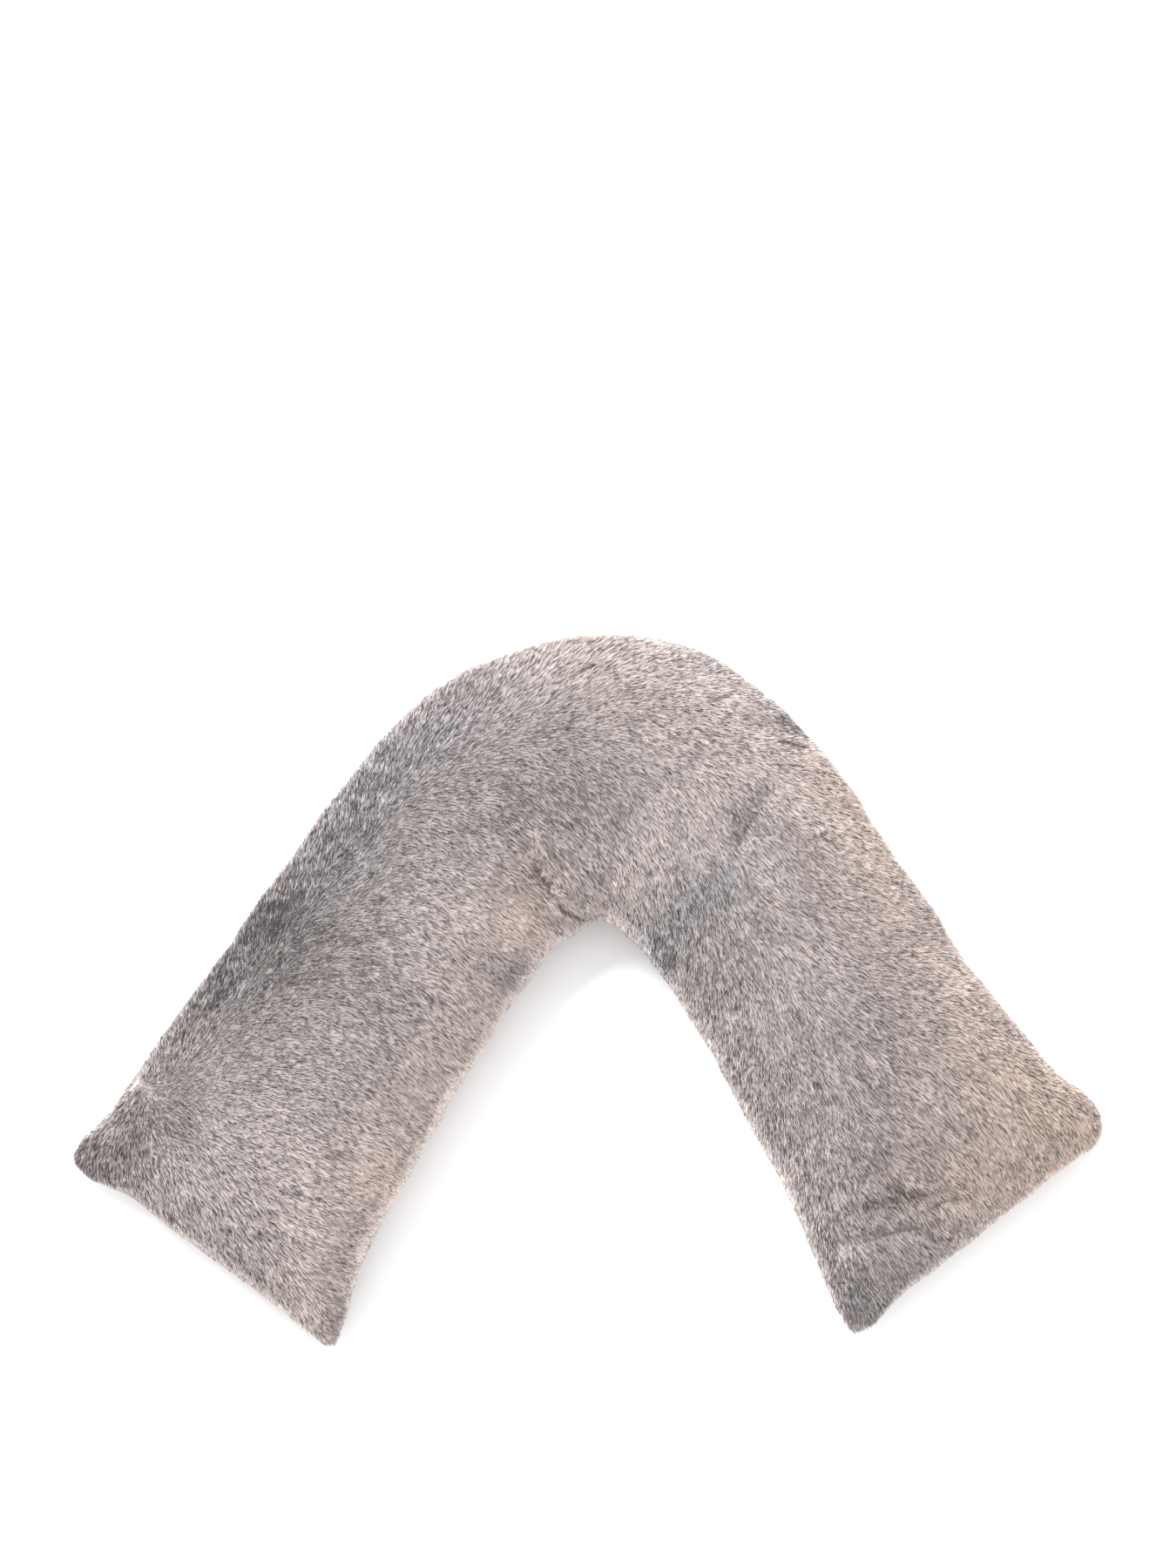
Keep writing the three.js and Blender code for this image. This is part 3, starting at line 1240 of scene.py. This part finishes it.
@dataclass
class Pile:
    """The tufts of pile, grown on the body by Geometry Nodes.

    Args:
        finish: Its colours.
        length: Length of a tuft.
        lean: How far a tuft leans over from standing straight.
        lean_spread: How much the lean differs.
        swirl: How much the way differs from clump to clump.
        stray: How much it differs from tuft to tuft.
        clump: Size of a clump.
        tone_drift: How much the tone differs from clump to clump.
        dark_from: Tone below which the clumps show more.
        dark_drift: How much more they show in the darkest pile.
        tone_spread: How much it differs from tuft to tuft.
        fleck: Size of the dark flecks where the pile parts.
        fleck_chance: Share of chance in them, the rest being clumps.
        fleck_start: How rare flecks are in the darkest pile.
        fleck_rarity: How much rarer they are in the palest.
        fleck_sharpness: How sharp their edges are.
        fleck_depth: How much darker they are.
        pale_lift: How much paler the pile between them is.
        root_sink: How deep the roots stand in the body.
        floor_gap: Least height of a tuft over the surface.
        map_width: Half the width of a tuft on its map.
        packing: Share of the plane that evenly scattered tufts fill.
        guard_tone: Tone below which a tuft is one of the longer, thinner dark ones.
        guard_length: How much longer the darkest are.
        guard_width: How wide they are, as a share of the others.
        length_range: Shortest and longest tuft, as shares of the length.
        width_range: Thinnest and widest tuft, as shares of the width.
        drift_range: Range of the noise that is taken for the clumps.
        noise_detail: Detail of the clumps and flecks.
        scatter_margin: How many tufts are tried for each that finds room.
        open_behind: Place behind a tuft's middle past which it has no face.
        map_slant: How far a tuft's front and side shift it on its map.
    """

    finish: PileFinish
    length: float = 0.0066
    lean: float = math.radians(67)
    lean_spread: float = math.radians(6)
    swirl: float = math.radians(14)
    stray: float = math.radians(7)
    clump: float = 0.013
    tone_drift: float = 0.045
    dark_from: float = 0.62
    dark_drift: float = 0.55
    tone_spread: float = 0.13
    fleck: float = 0.0020
    fleck_chance: float = 0.92
    fleck_start: float = -0.09
    fleck_rarity: float = 0.94
    fleck_sharpness: float = 24.0
    fleck_depth: float = 0.90
    pale_lift: float = 0.19
    root_sink: float = 0.0006
    floor_gap: float = 0.0004
    map_width: float = 0.0015
    packing: float = 0.70
    guard_tone: float = 0.45
    guard_length: float = 1.30
    guard_width: float = 0.68
    length_range: tuple[float, float] = (0.78, 1.12)
    width_range: tuple[float, float] = (0.75, 1.25)
    drift_range: tuple[float, float] = (0.25, 0.75)
    noise_detail: float = 2.0
    scatter_margin: float = 4.0
    open_behind: float = -0.05
    map_slant: tuple[float, float] = (1.2, 0.8)

    def build(
        self, body: Piece, lie: Lie, brushing: Brushing, growths: tuple[Growth, ...]
    ) -> list[Piece]:
        """Grows every patch of pile.

        Args:
            body: What the pile grows on.
            lie: How the V lies.
            brushing: How the pile is brushed.
            growths: The patches.

        Returns:
            One piece for each patch.
        """
        group = self.finish.tone_group()
        body.data.materials.clear()
        body.data.materials.append(self.finish.ground_material(group))
        material = self.finish.strand_material(group)
        tree = self.tree()
        return [self.grow(body, lie, brushing, growth, tree, material) for growth in growths]

    def grow(
        self,
        body: Piece,
        lie: Lie,
        brushing: Brushing,
        growth: Growth,
        tree: Tree,
        material: Material,
    ) -> Piece:
        """Grows one patch of pile.

        Args:
            body: What it grows on.
            lie: How the V lies.
            brushing: How it is brushed.
            growth: The patch.
            tree: The nodes that grow it.
            material: Its finish.

        Returns:
            The piece.
        """
        scalp = self.scalp(body.data, lie, growth)
        if growth.panel is Panel.FRONT:
            brushing.part(scalp)
        area = self.grown_area(scalp)
        spacing = math.sqrt(self.packing * area / growth.tufts)
        piece = linked(growth.name, scalp)
        modifier = piece.modifiers.new("pile", "NODES")
        modifier.node_group = tree
        values = {
            "Spacing": spacing,
            "Density": self.scatter_margin / spacing**2,
            "Seed": growth.seed,
            "Length": self.length,
            "Width": growth.width,
            "Lean": self.lean,
            "Lean Spread": self.lean_spread,
            "Swirl": self.swirl,
            "Stray": self.stray,
            "Clump": 1.0 / self.clump,
            "Fleck Scale": 1.0 / self.fleck,
            "Tone Drift": self.tone_drift,
            "Tone Spread": self.tone_spread,
            "Root Sink": self.root_sink,
            "Floor Gap": self.floor_gap,
            "Finish": material,
        }
        for socket in tree.interface.items_tree:
            if socket.in_out == "INPUT" and socket.name in values:
                modifier[socket.identifier] = values[socket.name]
        plain_mesh(piece)
        triangles = sum(len(p.vertices) - 2 for p in piece.data.polygons)
        log.info("%s: %d triangles, spacing %.2f mm", growth.name, triangles, 1000 * spacing)
        return piece

    @staticmethod
    def scalp(skin: Mesh, lie: Lie, growth: Growth) -> Mesh:
        """The part of the skin that a patch grows on.

        Args:
            skin: The body's skin.
            lie: How the V lies.
            growth: The patch.

        Returns:
            A new mesh.
        """
        mesh = skin.copy()
        work = bmesh.new()
        work.from_mesh(mesh)
        centres = np.array([f.calc_center_median() for f in work.faces])
        up = np.array([f.normal.z for f in work.faces])
        along, _ = lie.unbend(centres)
        facing = up >= 0 if growth.panel is Panel.FRONT else up < 0
        kept = facing & (along >= growth.low) & (along < growth.high)
        gone = [face for face, keep in zip(work.faces, kept) if not keep]
        bmesh.ops.delete(work, geom=gone, context="FACES")
        work.to_mesh(mesh)
        work.free()
        return mesh

    @staticmethod
    def grown_area(scalp: Mesh) -> float:
        """The area of a scalp, less where its cover is thin."""
        cover = read_attribute(scalp, "cover")
        return sum(p.area * float(cover[list(p.vertices)].mean()) for p in scalp.polygons)

    def tree(self) -> Tree:
        """Makes the nodes that scatter tufts over a scalp and lay them as it is brushed.

        Returns:
            The tree.
        """
        tree = bpy.data.node_groups.new("grow_pile", "GeometryNodeTree")
        tree.interface.new_socket("Geometry", in_out="OUTPUT", socket_type="NodeSocketGeometry")
        tree.interface.new_socket("Geometry", in_out="INPUT", socket_type="NodeSocketGeometry")
        for name in TREE_SIZES:
            tree.interface.new_socket(name, in_out="INPUT", socket_type="NodeSocketFloat")
        tree.interface.new_socket("Seed", in_out="INPUT", socket_type="NodeSocketInt")
        tree.interface.new_socket("Finish", in_out="INPUT", socket_type="NodeSocketMaterial")
        graph = Graph(tree)
        given = {s.name: s for s in graph.add("NodeGroupInput").outputs}
        scatter = graph.add(
            "GeometryNodeDistributePointsOnFaces",
            {"Mesh": given["Geometry"], "Seed": given["Seed"]},
            distribute_method="POISSON",
        )
        graph.feed(scatter.inputs["Distance Min"], given["Spacing"])
        graph.feed(scatter.inputs["Density Max"], given["Density"])
        graph.feed(scatter.inputs["Density Factor"], self.stored(graph, "cover"))
        normal = scatter.outputs["Normal"]
        place = graph.add("GeometryNodeInputPosition").outputs[0]
        drift = graph.stretch(self.noise(graph, place, given["Clump"]), *self.drift_range, -1.0, 1.0)
        toned = self.toned(graph, given, place, drift)
        points = graph.store(scatter.outputs[0], "tuft_tone", toned)
        points = graph.store(points, "tuft_band", self.banded(graph, given))
        sink = graph.scaled(normal, graph.math("MULTIPLY", given["Root Sink"], -1.0))
        sunk = graph.add("GeometryNodeSetPosition", {"Geometry": points, "Offset": sink})
        way = self.way(graph, given, normal, drift)
        along = graph.add("FunctionNodeAlignRotationToVector", {"Vector": way}, axis="Z")
        turned = graph.add(
            "FunctionNodeAlignRotationToVector",
            {"Rotation": along.outputs[0], "Vector": normal},
            axis="X",
            pivot_axis="Z",
        )
        long = graph.math("MULTIPLY", given["Length"], self.stored(graph, "trim"))
        long = graph.math("MULTIPLY", long, self.random(graph, given["Seed"], 3, *self.length_range))
        wide = self.random(graph, given["Seed"], 4, *self.width_range)
        wide = graph.math("MULTIPLY", given["Width"], wide)
        own_tone = self.stored(graph, "tuft_tone")
        longer = graph.stretch(own_tone, 0.0, self.guard_tone, self.guard_length, 1.0)
        thinner = graph.stretch(own_tone, 0.0, self.guard_tone, self.guard_width, 1.0)
        long = graph.math("MULTIPLY", long, longer)
        wide = graph.math("MULTIPLY", wide, thinner)
        size = graph.add("ShaderNodeCombineXYZ", {0: wide, 1: wide, 2: long})
        tufts = graph.add(
            "GeometryNodeInstanceOnPoints",
            {
                "Points": sunk.outputs[0],
                "Instance": self.tuft(graph),
                "Rotation": turned.outputs[0],
                "Scale": size.outputs[0],
            },
        )
        real = graph.add("GeometryNodeRealizeInstances", {"Geometry": tufts.outputs[0]})
        laid = self.lay_on_surface(graph, real.outputs[0], given["Floor Gap"])
        mapped = self.map_tufts(graph, laid)
        for name in STORED:
            mapped = graph.add("GeometryNodeRemoveAttribute", {"Geometry": mapped, "Name": name}).outputs[0]
        finished = graph.add("GeometryNodeSetMaterial", {"Geometry": mapped, "Material": given["Finish"]})
        graph.add("NodeGroupOutput", {"Geometry": finished.outputs[0]})
        return tree

    def toned(
        self,
        graph: Graph,
        given: Given,
        place: Socket,
        drift: Socket,
    ) -> Socket:
        """The tone of each tuft, with dark flecks where the pile parts.

        Args:
            graph: The tree's nodes.
            given: The tree's inputs.
            place: Where each tuft stands.
            drift: The clumps, from -1 to 1.

        Returns:
            The tone, from 0 to 1.
        """
        base = self.stored(graph, "tone")
        grain = self.noise(graph, place, given["Fleck Scale"])
        grain = graph.math("MULTIPLY", grain, 1.0 - self.fleck_chance)
        own = self.random(graph, given["Seed"], 8, 0.0, self.fleck_chance)
        grain = graph.math("ADD", grain, own)
        depth = graph.math("MAXIMUM", graph.math("SUBTRACT", self.dark_from, base), 0.0)
        amount = graph.math("MULTIPLY_ADD", depth, self.dark_drift, given["Tone Drift"])
        drifted = graph.math("MULTIPLY_ADD", drift, amount, base)
        limit = graph.math("MULTIPLY_ADD", drifted, self.fleck_rarity, self.fleck_start)
        over = graph.math("SUBTRACT", grain, limit)
        over = graph.math("MULTIPLY", over, self.fleck_sharpness, clamp=True)
        paler = graph.math("ADD", drifted, self.pale_lift)
        toned = graph.math("MULTIPLY_ADD", over, -self.fleck_depth, paler)
        chance = self.random(graph, given["Seed"], 1, -1.0, 1.0)
        return graph.math("MULTIPLY_ADD", chance, given["Tone Spread"], toned, clamp=True)

    def banded(self, graph: Graph, given: Given) -> Socket:
        """The step of warmth of each tuft, picked by chance between the two nearest.

        Args:
            graph: The tree's nodes.
            given: The tree's inputs.

        Returns:
            A whole number.
        """
        top = float(self.finish.bands - 1)
        warmth = graph.math("MULTIPLY", self.stored(graph, "warmth"), top)
        picked = graph.math("ADD", warmth, self.random(graph, given["Seed"], 7, 0.0, 1.0))
        return graph.math("FLOOR", graph.math("MINIMUM", graph.math("MAXIMUM", picked, 0.0), top))

    @staticmethod
    def stored(graph: Graph, name: str, kind: str = "FLOAT") -> Socket:
        """What the geometry holds under a name."""
        node = graph.add("GeometryNodeInputNamedAttribute", {"Name": name}, data_type=kind)
        return graph.out(node, "Attribute")

    def noise(self, graph: Graph, place: Socket, scale: Socket) -> Socket:
        """Noise over the pillow, from 0 to 1."""
        values = {"Vector": place, "Scale": scale, "Detail": self.noise_detail}
        return graph.add("ShaderNodeTexNoise", values).outputs[0]

    @staticmethod
    def random(graph: Graph, seed: Socket, offset: int, low: float, high: float) -> Socket:
        """A number that differs from tuft to tuft.

        Args:
            graph: The tree's nodes.
            seed: The patch's seed.
            offset: What is added to it, another for each use.
            low: Least number.
            high: Greatest number.

        Returns:
            The number.
        """
        own_seed = graph.math("ADD", seed, float(offset * SEED_STEP))
        values = {"Min": low, "Max": high, "Seed": own_seed}
        return graph.out(graph.add("FunctionNodeRandomValue", values, data_type="FLOAT"))

    def way(
        self,
        graph: Graph,
        given: Given,
        normal: Socket,
        drift: Socket,
    ) -> Socket:
        """The way that each tuft points.

        Args:
            graph: The tree's nodes.
            given: The tree's inputs.
            normal: The outward direction at each tuft.
            drift: The clumps, from -1 to 1.

        Returns:
            The direction.
        """
        comb = self.stored(graph, "comb", "FLOAT_VECTOR")
        product = graph.add("ShaderNodeVectorMath", {0: comb, 1: normal}, operation="DOT_PRODUCT")
        level = graph.out(product, "Value")
        flat = graph.vector("SUBTRACT", comb, graph.scaled(normal, level))
        flat = graph.vector("NORMALIZE", flat)
        angle = graph.math("MULTIPLY", drift, given["Swirl"])
        chance = self.random(graph, given["Seed"], 5, -1.0, 1.0)
        angle = graph.math("MULTIPLY_ADD", chance, given["Stray"], angle)
        turned = graph.add(
            "ShaderNodeVectorRotate",
            {"Vector": flat, "Axis": normal, "Angle": angle},
            rotation_type="AXIS_ANGLE",
        )
        chance = self.random(graph, given["Seed"], 6, -1.0, 1.0)
        lean = graph.math("MULTIPLY_ADD", chance, given["Lean Spread"], given["Lean"])
        upright = graph.scaled(normal, graph.math("COSINE", lean))
        over = graph.scaled(turned.outputs[0], graph.math("SINE", lean))
        return graph.vector("ADD", upright, over)

    def tuft(self, graph: Graph) -> Socket:
        """Makes one tuft, a spike one unit high with a ridge towards +X, open behind.

        Args:
            graph: The tree's nodes.

        Returns:
            The tuft.
        """
        spike = graph.add(
            "GeometryNodeMeshCone",
            {"Vertices": 3, "Radius Top": 0.0, "Radius Bottom": 0.5, "Depth": 1.0},
            fill_type="NONE",
        )
        place = graph.add("GeometryNodeInputPosition").outputs[0]
        parts = graph.add("ShaderNodeSeparateXYZ", {0: place})
        behind = graph.math("LESS_THAN", parts.outputs["X"], self.open_behind)
        open_spike = graph.add(
            "GeometryNodeDeleteGeometry",
            {"Geometry": spike.outputs["Mesh"], "Selection": behind},
            domain="FACE",
            mode="ALL",
        )
        front, beside = self.map_slant
        side = graph.math("MULTIPLY", parts.outputs["Y"], beside)
        side = graph.math("MULTIPLY_ADD", parts.outputs["X"], front, side)
        held = graph.store(open_spike.outputs[0], "up_tuft", parts.outputs["Z"])
        return graph.store(held, "side_tuft", side)

    @staticmethod
    def lay_on_surface(graph: Graph, geometry: Socket, gap: Socket) -> Socket:
        """Flattens what would hang below the surface that the pillow lies on.

        Args:
            graph: The tree's nodes.
            geometry: The tufts.
            gap: Least height over the surface.

        Returns:
            The tufts, laid.
        """
        place = graph.add("GeometryNodeInputPosition").outputs[0]
        parts = graph.add("ShaderNodeSeparateXYZ", {0: place})
        height = graph.math("MAXIMUM", parts.outputs["Z"], gap)
        laid = {0: parts.outputs["X"], 1: parts.outputs["Y"], 2: height}
        laid = graph.add("ShaderNodeCombineXYZ", laid).outputs[0]
        return graph.add("GeometryNodeSetPosition", {"Geometry": geometry, "Position": laid}).outputs[0]

    def map_tufts(self, graph: Graph, geometry: Socket) -> Socket:
        """Gives each tuft its strip of the map, at its own tone and warmth.

        Args:
            graph: The tree's nodes.
            geometry: The tufts.

        Returns:
            The tufts, mapped.
        """
        finish = self.finish
        side = self.stored(graph, "side_tuft")
        across = self.stored(graph, "tuft_tone")
        across = graph.stretch(across, 0.0, 1.0, finish.map_side, 1.0 - finish.map_side)
        across = graph.math("MULTIPLY_ADD", side, self.map_width, across)
        band = self.stored(graph, "tuft_band")
        up = self.stored(graph, "up_tuft")
        up = graph.stretch(up, 0.0, 1.0, finish.map_edge, 1.0 - finish.map_edge)
        up = graph.math("MULTIPLY_ADD", side, finish.map_edge / 4, up)
        up = graph.math("DIVIDE", graph.math("ADD", up, band), float(finish.bands))
        place = graph.add("ShaderNodeCombineXYZ", {0: across, 1: up})
        return graph.add(
            "GeometryNodeStoreNamedAttribute",
            {"Geometry": geometry, "Name": STRAND_MAP, "Value": place.outputs[0]},
            data_type="FLOAT2",
            domain="CORNER",
        ).outputs[0]


GROWTHS = (
    Growth("pile_left_foot", Panel.FRONT, -1.0, -0.36, 116000, 11),
    Growth("pile_left_shoulder", Panel.FRONT, -0.36, -0.02, 116000, 12),
    Growth("pile_right_shoulder", Panel.FRONT, -0.02, 0.33, 116000, 13),
    Growth("pile_right_foot", Panel.FRONT, 0.33, 1.0, 116000, 14),
    Growth("pile_back", Panel.BACK, -1.0, 1.0, 76000, 15, 0.0016),
)


# The studio.


@dataclass
class Studio:
    """A pale floor, soft light from the upper left and the camera.

    Args:
        target: What the camera looks at.
        elevation: Its height above the horizon, as an angle, on the feet's side.
        distance: Its distance from the target.
        lens: Its lens in millimetres.
        sensor: Its sensor in millimetres.
        floor_size: Length of each side of the floor.
        floor_colour: Colour of the floor.
        floor_roughness: Roughness of the floor.
        sky: Strength of the even light from all round.
        key_place: Place of the key light.
        key_power: Power of the key light in watts.
        key_size: Length of each side of the key light.
    """

    target: tuple[float, float, float] = (0.0016, 0.2173, 0.060)
    elevation: float = math.radians(82)
    distance: float = 2.8
    lens: float = 60.0
    sensor: float = 36.0
    floor_size: float = 30.0
    floor_colour: tuple[float, float, float, float] = (0.90, 0.90, 0.90, 1.0)
    floor_roughness: float = 0.9
    sky: float = 1.42
    key_place: tuple[float, float, float] = (-1.4, 2.0, 2.95)
    key_power: float = 137.0
    key_size: float = 1.2

    def build(self) -> None:
        """Makes the camera, the floor and the lights."""
        self.camera()
        self.floor()
        self.lights()

    def camera(self) -> None:
        """Makes the camera at the photograph's angle."""
        data = bpy.data.cameras.new("camera")
        data.lens = self.lens
        data.sensor_width = self.sensor
        camera = bpy.data.objects.new("camera", data)
        bpy.context.scene.collection.objects.link(camera)
        back = Vector((0.0, -math.cos(self.elevation), math.sin(self.elevation)))
        camera.location = Vector(self.target) + back * self.distance
        camera.rotation_euler = (math.pi / 2 - self.elevation, 0.0, 0.0)
        bpy.context.scene.camera = camera

    def floor(self) -> None:
        """Makes the floor, which isn't part of the pillow."""
        half = self.floor_size / 2
        mesh = bpy.data.meshes.new("floor")
        corners = [(-half, -half, 0), (half, -half, 0), (half, half, 0), (-half, half, 0)]
        mesh.from_pydata(corners, [], [(0, 1, 2, 3)])
        material = bpy.data.materials.new("floor")
        material.use_nodes = True
        shader = material.node_tree.nodes["Principled BSDF"]
        shader.inputs["Base Color"].default_value = self.floor_colour
        shader.inputs["Roughness"].default_value = self.floor_roughness
        shader.inputs["Specular IOR Level"].default_value = 0.0
        mesh.materials.append(material)
        linked("floor", mesh)

    def lights(self) -> None:
        """Makes the sky's even light and the soft key light."""
        world = bpy.data.worlds.new("studio")
        world.use_nodes = True
        background = world.node_tree.nodes["Background"]
        background.inputs["Color"].default_value = (1.0, 1.0, 1.0, 1.0)
        background.inputs["Strength"].default_value = self.sky
        bpy.context.scene.world = world
        bpy.context.scene.view_settings.view_transform = "Standard"
        light = bpy.data.lights.new("key", "AREA")
        light.energy = self.key_power
        light.size = self.key_size
        key = bpy.data.objects.new("key", light)
        key.location = self.key_place
        key.rotation_euler = (-Vector(self.key_place)).to_track_quat("-Z", "Y").to_euler()
        bpy.context.scene.collection.objects.link(key)


def main() -> None:
    """Builds the pillow round its solid, then the studio."""
    logging.basicConfig(level=logging.INFO, format="%(message)s")
    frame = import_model()
    lie = Lie()
    padding = PaddedBody(lie)
    body = padding.build(frame["nodes"][NODE])
    brushing = Brushing()
    brushing.write(body.data, padding)
    pile = Pile(PileFinish()).build(body, lie, brushing, GROWTHS)
    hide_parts(NODE)
    for piece in (body, *pile):
        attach(piece, BODY)
        log.info("%s rides on %s", piece.name, BODY)
    Studio().build()


if __name__ == "__main__":
    main()
